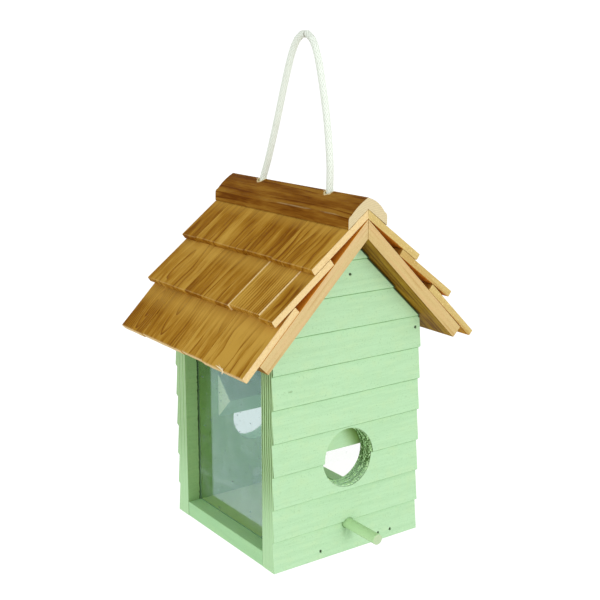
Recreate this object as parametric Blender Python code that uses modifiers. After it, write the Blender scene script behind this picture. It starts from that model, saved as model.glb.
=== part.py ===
"""Hanging bird feeder: a gabled clapboard house with two clear windows and a
shingled roof that slides up its hanging rope for filling.

Frame: origin at the bottom centre of the house, +Z up. The front gable faces
-Y, the windows face -X and +X. Dimensions are millimetres times MM.
"""

import math

import bmesh
import bpy
from mathutils import Vector

MM = 0.001

# ---------------------------------------------------------------- dimensions
HOUSE_WIDTH = 150.0
WALL_OUTER_Y = 77.5
WALL_INNER_Y = 60.5
LIP_DEPTH = 2.6
COURSE_FIRST = 26.8
COURSE_PITCH = 27.7
COURSE_COUNT = 9
GABLE_APEX_Z = 266.6

FLOOR_THICKNESS = 13.3
FIT_GAP = 0.3

KERF_X = 61.3
KERF_WIDTH = 2.6
KERF_DEPTH = 5.0
FLOOR_KERF_DEPTH = 4.0
PANE_THICKNESS = 2.0
PANE_TOP_Z = 203.0

RAIL_HEIGHT = 20.0
RAIL_TOP_Z = 191.3

HOLE_Z = 82.6
HOLE_RADIUS = 24.9
PERCH_Z = 24.6
PERCH_RADIUS = 4.5
PERCH_REACH = 38.5
PERCH_CLEARANCE = 0.15

BLOCK_LENGTH = 82.0
BLOCK_BASE = 41.0
FRONT_BLOCK_Z = 84.5
BACK_BLOCK_Z = 87.0

BAR_SIZE = 18.0
BAR_BOTTOM_Z = 228.0

ROOF_PITCH = math.radians(45.0)
ROOF_APEX_Z = 283.8
ROOF_BOARD_THICKNESS = 11.0
ROOF_BOARD_LENGTH = 142.4
ROOF_HALF_DEPTH = 98.0

SHINGLE_THICKNESS = 5.8
SHINGLE_GAP = 0.12
SHINGLE_LENGTHS = (63.0, 67.0, 66.6)
SEAM = 0.3
MITRE_GAP = 0.05
COURSE_TILT = math.radians(37.3)

CAP_HALF_WIDTH = 19.0
CAP_APEX_Z = 300.5
CAP_SHOULDER_Z = 287.6
CAP_SHOULDER_X = 16.6
CAP_CLEARANCE = 0.15
CAP_BULGES = (0.9, 1.9)

ROPE_RADIUS = 3.0
ROPE_HOLE_Y = 49.0
ROPE_HOLE_RADIUS = 4.3
KNOT_TURNS = 1.75
ROPE_TAIL = 15.0

NAIL_HEAD_RADIUS = 1.0
NAIL_HEAD_HEIGHT = 0.8
NAIL_SHANK_RADIUS = 0.7
NAIL_LENGTH = 22.0
NAIL_SINK = 0.5
NAIL_CLEARANCE = 0.12
FLOOR_NAIL_X = (-28.4, 32.6, 45.7)
FLOOR_NAIL_Z = 6.7
RAIL_NAIL_X = 70.0
RAIL_NAIL_Z = 182.8
BAR_NAIL_Z = 236.7

# Turns that stand a drawn outline up, and the distance under which points weld.
UPRIGHT_XZ = (math.pi / 2, 0.0, 0.0)
UPRIGHT_YZ = (math.pi / 2, 0.0, math.pi / 2)
WELD = 0.01

# Shingle widths along the ridge, from the front rake to the back one, with
# the extra length of every slat and how far its lower end curls up.
LEFT_COURSES = (
    ((54.5, 0.6, 0.0), (41.1, -0.5, 0.0), (77.0, 0.3, 0.0), (23.4, 1.0, 0.0)),
    ((19.0, 1.2, 0.0), (43.0, -0.8, 0.5), (69.0, 0.4, 0.2), (65.0, 1.0, 0.0)),
    ((59.5, 0.8, 0.0), (32.5, 0.0, 0.0), (67.0, 0.5, 0.0), (37.0, 1.1, 0.0)),
)
RIGHT_COURSES = (
    ((33.0, 0.4, 0.0), (62.0, 0.9, 0.0), (58.0, -0.4, 0.0), (43.0, 0.7, 0.0)),
    ((61.0, 0.7, 0.0), (36.0, -0.5, 0.4), (72.0, 0.8, 0.1), (27.0, 0.2, 0.3)),
    ((42.0, -0.9, 0.7), (70.0, 1.1, 0.0), (30.0, -0.2, 0.0), (54.0, 0.6, 0.0)),
)


# -------------------------------------------------------------------- set-up
def clear_scene():
    for item in list(bpy.data.objects):
        bpy.data.objects.remove(item, do_unlink=True)


def new_collection(name):
    group = bpy.data.collections.new(name)
    bpy.context.scene.collection.children.link(group)
    return group


clear_scene()
PARTS = new_collection("hanging_bird_feeder")
CUTTERS = new_collection("cutters")

# Colour, roughness, alpha and metallic value of each finish.
FINISHES = {
    "green_paint": ((0.50, 0.78, 0.48), 0.55, 1.0, 0.0),
    "acrylic": ((0.86, 0.93, 0.92), 0.05, 0.35, 0.0),
    "cedar": ((0.42, 0.22, 0.07), 0.50, 1.0, 0.0),
    "cedar_dark": ((0.26, 0.11, 0.03), 0.50, 1.0, 0.0),
    "cotton": ((0.88, 0.88, 0.84), 0.90, 1.0, 0.0),
    "steel": ((0.30, 0.30, 0.30), 0.40, 1.0, 1.0),
}


def finish_material(name, finish):
    colour, roughness, alpha, metallic = FINISHES[finish]
    coat = bpy.data.materials.new(f"{name}_{finish}")
    coat.use_nodes = True
    shader = coat.node_tree.nodes["Principled BSDF"]
    shader.inputs["Base Color"].default_value = (*colour, 1.0)
    shader.inputs["Roughness"].default_value = roughness
    shader.inputs["Alpha"].default_value = alpha
    shader.inputs["Metallic"].default_value = metallic
    return coat


def add_object(name, data, finish):
    """A part with its own material, or a cutter when finish is None."""
    item = bpy.data.objects.new(name, data)
    if finish is None:
        CUTTERS.objects.link(item)
        item.hide_render = True
        item.display_type = "WIRE"
    else:
        PARTS.objects.link(item)
        data.materials.append(finish_material(name, finish))
    return item


def add_mesh(name, bm, finish):
    data = bpy.data.meshes.new(name)
    bm.to_mesh(data)
    bm.free()
    return add_object(name, data, finish)


def place(item, location, rotation=(0.0, 0.0, 0.0)):
    item.location = [value * MM for value in location]
    item.rotation_euler = rotation
    return item


# ------------------------------------------------------------- shape helpers
def box(name, x_span, y_span, z_span, finish):
    """Cuboid between two limits on each axis."""
    spans = [sorted(span) for span in (x_span, y_span, z_span)]
    size = [(high - low) * MM for low, high in spans]
    bm = bmesh.new()
    bmesh.ops.create_cube(bm, size=1.0)
    bmesh.ops.scale(bm, vec=size, verts=bm.verts)
    centre = [(high + low) / 2 for low, high in spans]
    return place(add_mesh(name, bm, finish), centre)


def curve_to_mesh(guide, name, finish):
    """Mesh object with the shape and place of a curve, which is removed."""
    graph = bpy.context.evaluated_depsgraph_get()
    data = bpy.data.meshes.new_from_object(guide.evaluated_get(graph))
    bm = bmesh.new()
    bm.from_mesh(data)
    bpy.data.meshes.remove(data)
    bmesh.ops.remove_doubles(bm, verts=bm.verts, dist=WELD * MM)
    bmesh.ops.dissolve_limit(
        bm, angle_limit=math.radians(0.5), verts=bm.verts, edges=bm.edges
    )
    bmesh.ops.recalc_face_normals(bm, faces=bm.faces)
    item = add_mesh(name, bm, finish)
    item.matrix_world = guide.matrix_world.copy()
    bpy.data.objects.remove(guide, do_unlink=True)
    return item


def slab(name, outline, thickness, turn, centre, finish):
    """Flat outline of straight edges, given thickness about its own plane."""
    flat = bpy.data.curves.new(name + "_outline", "CURVE")
    flat.dimensions = "2D"
    flat.fill_mode = "BOTH"
    flat.extrude = thickness / 2 * MM
    edge = flat.splines.new("POLY")
    edge.use_cyclic_u = True
    edge.points.add(len(outline) - 1)
    for (first, second), target in zip(outline, edge.points):
        target.co = (first * MM, second * MM, 0.0, 1.0)
    guide = bpy.data.objects.new(name + "_outline", flat)
    CUTTERS.objects.link(guide)
    place(guide, centre, turn)
    bpy.context.view_layer.update()
    return curve_to_mesh(guide, name, finish)


def gable_slab(name, outline, y_span, finish):
    """Outline drawn as (x, z), swept along Y."""
    low, high = sorted(y_span)
    centre = (0.0, (low + high) / 2, 0.0)
    return slab(name, outline, high - low, UPRIGHT_XZ, centre, finish)


def turned(name, profile, sides, finish):
    """Body turned about its own Z axis; profile is (radius, height), top down."""
    bm = bmesh.new()
    rim = [bm.verts.new((radius * MM, 0.0, z * MM)) for radius, z in profile]
    for upper, lower in zip(rim, rim[1:]):
        bm.edges.new((upper, lower))
    item = add_mesh(name, bm, finish)
    spin = item.modifiers.new("turning", "SCREW")
    spin.steps = sides
    spin.render_steps = sides
    spin.use_merge_vertices = True
    spin.merge_threshold = WELD * MM
    return item


def cylinder_cutter(name, radius, centre, turn, reach, sides=48):
    """Plain round cutter through a point, reaching the same way both sides."""
    bm = bmesh.new()
    bmesh.ops.create_cone(
        bm,
        cap_ends=True,
        segments=sides,
        radius1=radius * MM,
        radius2=radius * MM,
        depth=2 * reach * MM,
    )
    return place(add_mesh(name, bm, None), centre, turn)


def soften(item, width=0.5, segments=2):
    edge = item.modifiers.new("eased_edges", "BEVEL")
    edge.width = width * MM
    edge.segments = segments
    edge.limit_method = "ANGLE"
    edge.angle_limit = math.radians(35.0)
    return item


def cut(item, *cutters):
    for cutter in cutters:
        step = item.modifiers.new("cut_" + cutter.name, "BOOLEAN")
        step.operation = "DIFFERENCE"
        step.solver = "EXACT"
        step.object = cutter
    return item


def outward(facing):
    """Turn that points local Z out of the front (-1) or back (+1) gable."""
    return (-facing * math.pi / 2, 0.0, 0.0)


# ------------------------------------------------------------- gable walls
def clapboard_outline():
    """Section of a wall panel as (y, z): plain inside, lapped outside."""
    proud = -WALL_OUTER_Y
    recess = proud + LIP_DEPTH
    outline = [(-WALL_INNER_Y, 0.0), (proud + 0.3, 0.0), (proud, 0.4)]
    for course in range(COURSE_COUNT):
        lap = COURSE_FIRST + COURSE_PITCH * course
        outline.append((recess, lap - 1.6))
        outline.append((recess + 0.1, lap - 1.1))
        outline.append((proud + 0.5, lap + 0.1))
        outline.append((proud + 0.1, lap + 0.4))
        outline.append((proud, lap + 1.0))
    top = COURSE_FIRST + COURSE_PITCH * COURSE_COUNT
    outline.append((recess, top))
    outline.append((-WALL_INNER_Y, top))
    return outline


def wall_face_y(height):
    """Distance from the house centre to the sloping board face."""
    course = math.floor((height - COURSE_FIRST) / COURSE_PITCH)
    base = COURSE_FIRST + COURSE_PITCH * course if course >= 0 else 0.0
    span = COURSE_PITCH if course >= 0 else COURSE_FIRST
    share = (height - base) / span
    return WALL_OUTER_Y - LIP_DEPTH * share


def gable_trims():
    """Two large blocks whose undersides are the 45 degree gable edges."""
    reach = 200.0
    trims = []
    for side, label in ((-1, "left"), (1, "right")):
        outline = (
            (0.0, GABLE_APEX_Z),
            (side * reach, GABLE_APEX_Z - reach),
            (side * reach, GABLE_APEX_Z + reach),
            (0.0, GABLE_APEX_Z + reach),
        )
        name = "gable_trim_" + label
        trims.append(gable_slab(name, outline, (-110.0, 110.0), None))
    return trims


def kerf_span(side):
    return (side * (KERF_X - KERF_WIDTH / 2), side * (KERF_X + KERF_WIDTH / 2))


def kerf_cutters():
    """Saw kerfs for the windows: one upright slab per side of the house."""
    edge = WALL_INNER_Y + KERF_DEPTH
    slabs = []
    for side, label in ((-1, "left"), (1, "right")):
        y_span = (-edge, edge)
        z_span = (-10.0, 300.0)
        slabs.append(box("kerf_" + label, kerf_span(side), y_span, z_span, None))
    return slabs


def nail_spots(facing):
    """Nail heads of one gable wall as (name, x, z)."""
    label = "front" if facing < 0 else "back"
    spots = []
    for number, x in enumerate(FLOOR_NAIL_X, 1):
        spots.append((f"{label}_floor_nail_{number}", -facing * x, FLOOR_NAIL_Z))
    spots.append((f"{label}_left_rail_nail", -RAIL_NAIL_X, RAIL_NAIL_Z))
    spots.append((f"{label}_right_rail_nail", RAIL_NAIL_X, RAIL_NAIL_Z))
    spots.append((f"{label}_bar_nail", 0.0, BAR_NAIL_Z))
    return spots


def nail_place(x, z, facing):
    """Where a nail's tip lies; its head ends just below the board face."""
    return (x, facing * (wall_face_y(z) - NAIL_SINK - NAIL_LENGTH), z)


def nail(name, x, z, facing):
    """Wire nail with a small flat head and a blunt point."""
    neck = NAIL_LENGTH - NAIL_HEAD_HEIGHT
    profile = (
        (0.0, NAIL_LENGTH),
        (NAIL_HEAD_RADIUS * 0.8, NAIL_LENGTH),
        (NAIL_HEAD_RADIUS, NAIL_LENGTH - 0.2),
        (NAIL_HEAD_RADIUS, neck + 0.1),
        (NAIL_SHANK_RADIUS, neck),
        (NAIL_SHANK_RADIUS, 1.6),
        (NAIL_SHANK_RADIUS * 0.4, 0.0),
        (0.0, 0.0),
    )
    item = turned(name, profile, 16, "steel")
    return place(item, nail_place(x, z, facing), outward(facing))


def nail_bore(name, x, z, facing):
    """Stepped bore that clears one nail in the wall and the piece behind."""
    neck = NAIL_LENGTH - NAIL_HEAD_HEIGHT - FIT_GAP
    head = NAIL_HEAD_RADIUS + NAIL_CLEARANCE
    shank = NAIL_SHANK_RADIUS + NAIL_CLEARANCE
    profile = (
        (0.0, NAIL_LENGTH + 3.0),
        (head, NAIL_LENGTH + 3.0),
        (head, neck),
        (shank, neck),
        (shank, -0.6),
        (0.0, -0.6),
    )
    item = turned(name, profile, 16, None)
    return place(item, nail_place(x, z, facing), outward(facing))


def gable_wall(name, facing, trims, kerfs, bores):
    """One clapboard gable; the back wall is the same panel turned round."""
    turn = UPRIGHT_YZ if facing < 0 else (math.pi / 2, 0.0, -math.pi / 2)
    origin = (0.0, 0.0, 0.0)
    outline = clapboard_outline()
    wall = slab(name, outline, HOUSE_WIDTH, turn, origin, "green_paint")
    middle = facing * (WALL_OUTER_Y + WALL_INNER_Y) / 2
    entrance = cylinder_cutter(
        name + "_entrance",
        HOLE_RADIUS,
        (0.0, middle, HOLE_Z),
        outward(facing),
        20.0,
        72,
    )
    perch_bore = cylinder_cutter(
        name + "_perch_bore",
        PERCH_RADIUS + PERCH_CLEARANCE,
        (0.0, middle, PERCH_Z),
        outward(facing),
        20.0,
    )
    return cut(wall, *trims, entrance, perch_bore, *kerfs, *bores)


# ------------------------------------------------------------ house fittings
def between_walls():
    """Y limits of a piece fitted between the inner faces of the gables."""
    return (FIT_GAP - WALL_INNER_Y, WALL_INNER_Y - FIT_GAP)


def floor_board(bores):
    half = HOUSE_WIDTH / 2
    z_span = (0.0, FLOOR_THICKNESS)
    board = box("floor_board", (-half, half), between_walls(), z_span, "green_paint")
    soften(board)
    for side, label in ((-1, "left"), (1, "right")):
        z_cut = (FLOOR_THICKNESS - FLOOR_KERF_DEPTH, FLOOR_THICKNESS + 20.0)
        y_cut = (-WALL_OUTER_Y, WALL_OUTER_Y)
        cut(board, box("floor_kerf_" + label, kerf_span(side), y_cut, z_cut, None))
    return cut(board, *bores)


def window(name, side):
    """Clear sheet standing in the kerfs, free to slide up once the roof is off."""
    half = PANE_THICKNESS / 2
    x_span = (side * (KERF_X - half), side * (KERF_X + half))
    reach = WALL_INNER_Y + KERF_DEPTH - 2 * FIT_GAP
    z_span = (FLOOR_THICKNESS - FLOOR_KERF_DEPTH + FIT_GAP, PANE_TOP_Z)
    return soften(box(name, x_span, (-reach, reach), z_span, "acrylic"), 0.25, 1)


def top_rail(name, side, bores):
    inner = KERF_X + KERF_WIDTH / 2 + FIT_GAP
    x_span = (side * inner, side * HOUSE_WIDTH / 2)
    z_span = (RAIL_TOP_Z - RAIL_HEIGHT, RAIL_TOP_Z)
    rail = box(name, x_span, between_walls(), z_span, "green_paint")
    return cut(soften(rail), *bores)


def hanger_bar(bores):
    half = BAR_SIZE / 2
    z_span = (BAR_BOTTOM_Z, BAR_BOTTOM_Z + BAR_SIZE)
    bar = box("hanger_bar", (-half, half), between_walls(), z_span, "green_paint")
    return cut(soften(bar), *bores)


def seed_block(name, facing, bottom_z):
    """Batten sawn corner to corner, sawn face on the wall, over the hole."""
    wall = WALL_INNER_Y - FIT_GAP
    outline = (
        (wall, bottom_z),
        (wall - BLOCK_BASE / 2, bottom_z + BLOCK_BASE / 2),
        (wall, bottom_z + BLOCK_BASE),
    )
    outline = [(facing * y, z) for y, z in outline]
    origin = (0.0, 0.0, 0.0)
    block = slab(name, outline, BLOCK_LENGTH, UPRIGHT_YZ, origin, "green_paint")
    return soften(block)


def perch(name, facing):
    """Plain dowel, flush inside the wall, with a slightly eased outer end."""
    inside = WALL_INNER_Y + 0.2
    length = WALL_OUTER_Y + PERCH_REACH - inside
    profile = (
        (0.0, length),
        (PERCH_RADIUS - 0.5, length),
        (PERCH_RADIUS - 0.15, length - 0.15),
        (PERCH_RADIUS, length - 0.5),
        (PERCH_RADIUS, 0.3),
        (PERCH_RADIUS - 0.3, 0.0),
        (0.0, 0.0),
    )
    item = turned(name, profile, 40, "green_paint")
    return place(item, (0.0, facing * inside, PERCH_Z), outward(facing))


# ---------------------------------------------------------------------- roof
def slope_point(side, along, height):
    """Point on a roof slope from the ridge: distance along, height above."""
    x = along * math.cos(ROOF_PITCH) + height * math.sin(ROOF_PITCH)
    z = ROOF_APEX_Z - along * math.sin(ROOF_PITCH) + height * math.cos(ROOF_PITCH)
    return side * x, z


def roof_board(name, side, rope_bores):
    """Flat board, mitred at the ridge and square-cut at the eaves."""
    apex = ROOF_APEX_Z - MITRE_GAP
    drop = ROOF_BOARD_THICKNESS / math.cos(ROOF_PITCH)
    outline = (
        (side * MITRE_GAP, apex),
        slope_point(side, ROOF_BOARD_LENGTH, 0.0),
        slope_point(side, ROOF_BOARD_LENGTH, -ROOF_BOARD_THICKNESS),
        (side * MITRE_GAP, apex - drop),
    )
    rakes = (-ROOF_HALF_DEPTH, ROOF_HALF_DEPTH)
    return cut(soften(gable_slab(name, outline, rakes, "cedar")), *rope_bores)


def course_seat(course):
    """Upper underside corner of a course as (x, z), its slope and its length.

    The lowest course lies flat on the roof board. Each course above rests its
    upper end on the board and its underside on the end of the course below.
    """
    rest = ROOF_APEX_Z + SHINGLE_GAP / math.cos(ROOF_PITCH)
    starts = (0.0, 32.3, 64.4)
    slopes = (COURSE_TILT, COURSE_TILT, ROOF_PITCH)
    x = starts[course]
    return (x, rest - x), slopes[course], SHINGLE_LENGTHS[course]


def shingle(name, side, course, y_span, extra, curl):
    """One slat, drawn down the slope from its upper underside corner."""
    (x, z), angle, length = course_seat(course)
    length += extra
    angle -= math.atan2(curl, length)
    upper = 0.0
    lean = 0.0
    if course == 0:
        upper = MITRE_GAP / math.cos(angle)
        lean = SHINGLE_THICKNESS * math.tan(angle)
    outline = (
        (side * upper, 0.0),
        (side * length, 0.0),
        (side * length, SHINGLE_THICKNESS),
        (side * (upper - lean), SHINGLE_THICKNESS),
    )
    low, high = y_span
    turn = (math.pi / 2, side * angle, 0.0)
    centre = (side * x, (low + high) / 2, z)
    return soften(slab(name, outline, high - low, turn, centre, "cedar"), 0.45)


def crosses(bore, y_span):
    centre = bore.location.y / MM
    low, high = y_span
    return low < centre + ROPE_HOLE_RADIUS and high > centre - ROPE_HOLE_RADIUS


def shingle_courses(label, side, courses, rope_bores):
    for course, slats in enumerate(courses):
        front = -ROOF_HALF_DEPTH
        for number, (width, extra, curl) in enumerate(slats, 1):
            name = f"{label}_shingle_{course + 1}_{number}"
            y_span = (front + SEAM / 2, front + width - SEAM / 2)
            slat = shingle(name, side, course, y_span, extra, curl)
            front += width
            if course == 0:
                cut(slat, *[bore for bore in rope_bores if crosses(bore, y_span)])


def rounded_shoulder():
    """Points of the cap's round shoulder, from its side up to its slope."""
    start = Vector((CAP_HALF_WIDTH, CAP_SHOULDER_Z - 4.6))
    corner = Vector((CAP_HALF_WIDTH + 0.2, CAP_SHOULDER_Z - 0.8))
    end = Vector((CAP_SHOULDER_X, CAP_SHOULDER_Z))
    steps = 6
    for step in range(steps + 1):
        share = step / steps
        spot = start.lerp(corner, share).lerp(corner.lerp(end, share), share)
        yield spot.x, spot.y


def bulged_slope(bulge):
    """Points between the cap's shoulder and its apex, arched by the bulge."""
    start = Vector((CAP_SHOULDER_X, CAP_SHOULDER_Z))
    end = Vector((1.2, CAP_APEX_Z - 0.6))
    out = Vector((start.y - end.y, end.x - start.x)).normalized() * -bulge
    steps = 6
    for step in range(1, steps + 1):
        share = step / steps
        spot = start.lerp(end, share) + out * 4.0 * share * (1.0 - share)
        yield spot.x, spot.y


def ridge_cap(rope_bores):
    """Cap with an arched top and rounded shoulders over the top shingles."""
    seat = ROOF_APEX_Z + SHINGLE_GAP / math.cos(ROOF_PITCH)
    notch = seat + SHINGLE_THICKNESS / math.cos(COURSE_TILT) + CAP_CLEARANCE
    inner_x = CAP_HALF_WIDTH - 0.3
    foot = notch - inner_x * math.tan(COURSE_TILT)
    halves = []
    for bulge in CAP_BULGES:
        half = [(inner_x, foot), (CAP_HALF_WIDTH + 0.1, foot + 0.4)]
        half.extend(rounded_shoulder())
        half.extend(bulged_slope(bulge))
        halves.append(half)
    mirrored = [(-x, z) for x, z in reversed(halves[0])]
    outline = [(0.0, notch), *halves[1], (0.0, CAP_APEX_Z), *mirrored]
    depth = ROOF_HALF_DEPTH - FIT_GAP
    cap = gable_slab("ridge_cap", outline, (-depth, depth), "cedar_dark")
    return cut(soften(cap, 0.4), *rope_bores)


# ---------------------------------------------------------------------- rope
def smooth_route(points, spacing):
    """Even points on a Catmull-Rom curve through the route points."""
    fine = []
    padded = [points[0] * 2 - points[1], *points, points[-1] * 2 - points[-2]]
    for index in range(1, len(padded) - 2):
        p0, p1, p2, p3 = padded[index - 1 : index + 3]
        for step in range(24):
            t = step / 24
            fine.append(
                0.5
                * (
                    2 * p1
                    + (p2 - p0) * t
                    + (2 * p0 - 5 * p1 + 4 * p2 - p3) * t * t
                    + (3 * p1 - p0 - 3 * p2 + p3) * t * t * t
                )
            )
    fine.append(points[-1])
    length = sum((b - a).length for a, b in zip(fine, fine[1:]))
    wanted = max(2, round(length / spacing))
    even = [fine[0]]
    walked = 0.0
    for a, b in zip(fine, fine[1:]):
        step = (b - a).length
        while len(even) < wanted and walked + step >= length * len(even) / wanted:
            share = (length * len(even) / wanted - walked) / step
            even.append(a.lerp(b, share))
        walked += step
    even.append(fine[-1])
    return even


def tube(name, points, radius):
    data = bpy.data.curves.new(name, "CURVE")
    data.dimensions = "3D"
    data.bevel_depth = radius * MM
    data.bevel_resolution = 3
    data.use_fill_caps = True
    line = data.splines.new("POLY")
    line.points.add(len(points) - 1)
    for spot, target in zip(points, line.points):
        target.co = (*(spot * MM), 1.0)
    return add_object(name, data, "cotton")


def rope():
    """Loop above the ridge, both legs down through roof and hanger bar."""
    tail_z = BAR_BOTTOM_Z - 14.5 - ROPE_TAIL
    route = (
        (0.0, ROPE_HOLE_Y + 1.0, tail_z),
        (0.0, ROPE_HOLE_Y, BAR_BOTTOM_Z - 10.0),
        (0.0, ROPE_HOLE_Y, BAR_BOTTOM_Z + 20.0),
        (0.0, ROPE_HOLE_Y + 0.1, CAP_APEX_Z - 12.0),
        (0.0, ROPE_HOLE_Y - 1.2, CAP_APEX_Z + 1.0),
        (0.0, 40.2, 317.0),
        (0.0, 26.0, 352.0),
        (0.0, 14.0, 384.0),
        (0.0, 4.6, 406.0),
        (0.0, -3.6, 418.0),
        (0.0, -14.0, 422.6),
        (0.0, -24.2, 418.0),
        (0.0, -31.4, 405.0),
        (0.0, -37.6, 384.0),
        (0.0, -44.2, 355.0),
        (0.0, -48.4, 322.0),
        (0.0, -ROPE_HOLE_Y + 0.8, CAP_APEX_Z + 2.0),
        (0.0, -ROPE_HOLE_Y, CAP_APEX_Z - 12.0),
        (0.0, -ROPE_HOLE_Y, BAR_BOTTOM_Z + 20.0),
        (0.0, -ROPE_HOLE_Y, BAR_BOTTOM_Z - 10.0),
        (0.0, -ROPE_HOLE_Y - 1.0, tail_z),
    )
    points = smooth_route([Vector(spot) for spot in route], 7.5)
    return tube("rope", points, ROPE_RADIUS)


def stopper_knot(name, facing):
    """Two wraps of rope round the leg, jammed under the hanger bar."""
    coil = ROPE_RADIUS * 2 + 0.35
    pitch = ROPE_RADIUS * 2 + 0.4
    top = BAR_BOTTOM_Z - ROPE_RADIUS - 0.5
    steps = round(16 * KNOT_TURNS)
    points = []
    for step in range(steps + 1):
        share = step / steps
        turn = 2.0 * math.pi * KNOT_TURNS * share
        height = top - pitch * KNOT_TURNS * share
        x = coil * math.cos(turn)
        y = facing * ROPE_HOLE_Y + coil * math.sin(turn)
        points.append(Vector((x, y, height)))
    return tube(name, points, ROPE_RADIUS)


# ------------------------------------------------------------------ assembly
def build_house(rope_bores):
    trims = gable_trims()
    kerfs = kerf_cutters()
    bores = {}
    for facing in (-1, 1):
        for name, x, z in nail_spots(facing):
            bores[name] = nail_bore(name + "_bore", x, z, facing)
            nail(name, x, z, facing)

    def bores_of(word):
        return [bore for name, bore in bores.items() if word in name]

    gable_wall("front_wall", -1, trims, kerfs, bores_of("front"))
    gable_wall("back_wall", 1, trims, kerfs, bores_of("back"))
    floor_board(bores_of("floor"))
    window("left_window", -1)
    window("right_window", 1)
    top_rail("left_top_rail", -1, bores_of("left"))
    top_rail("right_top_rail", 1, bores_of("right"))
    hanger_bar(bores_of("bar") + rope_bores)
    seed_block("front_seed_block", -1, FRONT_BLOCK_Z)
    seed_block("back_seed_block", 1, BACK_BLOCK_Z)
    perch("front_perch", -1)
    perch("back_perch", 1)


def build_roof(rope_bores):
    roof_board("left_roof_board", -1, rope_bores)
    roof_board("right_roof_board", 1, rope_bores)
    shingle_courses("left", -1, LEFT_COURSES, rope_bores)
    shingle_courses("right", 1, RIGHT_COURSES, rope_bores)
    ridge_cap(rope_bores)


def build():
    rope_bores = []
    for facing, label in ((-1, "front"), (1, "back")):
        name = label + "_rope_bore"
        centre = (0.0, facing * ROPE_HOLE_Y, 260.0)
        upright = (0.0, 0.0, 0.0)
        bore = cylinder_cutter(name, ROPE_HOLE_RADIUS, centre, upright, 60.0, 32)
        rope_bores.append(bore)
    build_house(rope_bores)
    build_roof(rope_bores)
    rope()
    stopper_knot("front_knot", -1)
    stopper_knot("back_knot", 1)


build()
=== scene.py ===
"""Looks of the hanging bird feeder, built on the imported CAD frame.

Metres, origin at the bottom centre of the house, +Z up. The front gable faces
-Y and the windows face -X and +X. The roof slides up its hanging rope.
"""

import math
import random
from itertools import product

import bpy
import numpy as np
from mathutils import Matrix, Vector, noise


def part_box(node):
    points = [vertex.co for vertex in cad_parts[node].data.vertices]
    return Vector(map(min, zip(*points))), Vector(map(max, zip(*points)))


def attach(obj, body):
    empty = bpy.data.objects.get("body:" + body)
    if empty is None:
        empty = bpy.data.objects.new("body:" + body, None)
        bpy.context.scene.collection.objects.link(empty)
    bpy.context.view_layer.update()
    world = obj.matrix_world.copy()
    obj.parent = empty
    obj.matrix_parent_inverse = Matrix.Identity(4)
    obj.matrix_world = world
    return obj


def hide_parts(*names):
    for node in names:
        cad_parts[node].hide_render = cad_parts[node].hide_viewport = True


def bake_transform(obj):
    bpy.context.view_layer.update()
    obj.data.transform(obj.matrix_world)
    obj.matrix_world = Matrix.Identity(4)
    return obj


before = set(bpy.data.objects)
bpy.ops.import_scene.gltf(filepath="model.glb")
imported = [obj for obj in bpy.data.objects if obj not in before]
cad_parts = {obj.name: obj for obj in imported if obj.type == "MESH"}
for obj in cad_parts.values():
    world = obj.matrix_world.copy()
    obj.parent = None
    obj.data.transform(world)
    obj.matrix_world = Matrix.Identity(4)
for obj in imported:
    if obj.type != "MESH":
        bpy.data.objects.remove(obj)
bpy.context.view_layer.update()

MM = 0.001

# Camera of the photograph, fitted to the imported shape.
CAMERA_PLACE = (-0.5207, -0.7423, 0.4164)
CAMERA_TARGET = (0.0051, 0.0, 0.2004)
CAMERA_LENS = 65.42

# Studio: the feeder hangs above a wide pale floor.
FLOOR_Z = -0.5
FLOOR_REACH = 40.0
SEEN_LIGHT = 1.12
ROOM_LIGHT = 0.62

# Places that part.py gives in millimetres, repeated here in metres.
ROPE_HOLE_Y = 0.049
ROPE_HOLE_RADIUS = 0.0043
ROPE_RADIUS = 0.003
BAR_BOTTOM_Z = 0.228
CAP_APEX_Z = 0.3005
GABLE_APEX_Z = 0.2666
HOLE_Z = 0.0826
HOLE_RADIUS = 0.0249
PERCH_Z = 0.0246
PERCH_GAP_RADIUS = 0.0048
CAP_SHOULDER_X = 0.0179
KERF_OUTER_X = 0.0626
WALL_INNER_Y = 0.0605
WALL_OUTER_Y = 0.0775
LIP_DEPTH = 0.0026
COURSE_FIRST = 0.0268
COURSE_PITCH = 0.0277
KNOT_TURNS = 1.75
TUFT_Y = -0.069


# ---- camera
def aim(item, target):
    """Turns a camera or a lamp, which look along -Z, towards a point."""
    direction = Vector(target) - item.location
    item.rotation_mode = "QUATERNION"
    item.rotation_quaternion = direction.to_track_quat("-Z", "Y")


def link(item):
    bpy.context.scene.collection.objects.link(item)
    return item


def make_camera():
    data = bpy.data.cameras.new("photo_camera")
    data.lens = CAMERA_LENS
    data.clip_start = 0.02
    data.clip_end = 200.0
    camera = link(bpy.data.objects.new("photo_camera", data))
    camera.location = CAMERA_PLACE
    aim(camera, CAMERA_TARGET)
    bpy.context.scene.camera = camera


# ---- mesh helpers
def mesh_piece(name, points, faces, material, smooth=True):
    """New object at the origin from row-frame points and faces."""
    data = bpy.data.meshes.new(name)
    data.from_pydata([tuple(p) for p in points], [], faces)
    data.update()
    data.polygons.foreach_set("use_smooth", [smooth] * len(data.polygons))
    data.materials.append(material)
    return link(bpy.data.objects.new(name, data))


def store(item, name, values, domain="POINT"):
    """Stores a number or vector per point or face, read by name in materials."""
    values = np.asarray(values, np.float32)
    kind, key = ("FLOAT", "value") if values.ndim == 1 else ("FLOAT_VECTOR", "vector")
    layer = item.data.attributes.new(name, kind, domain)
    layer.data.foreach_set(key, values.ravel())


# ---- node graph
def feed(socket, value):
    """Links a field or an output into an input, or sets the input's value."""
    if isinstance(value, Field):
        value = value.socket
    if isinstance(value, bpy.types.NodeSocket):
        socket.id_data.links.new(value, socket)
    else:
        socket.default_value = value


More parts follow.
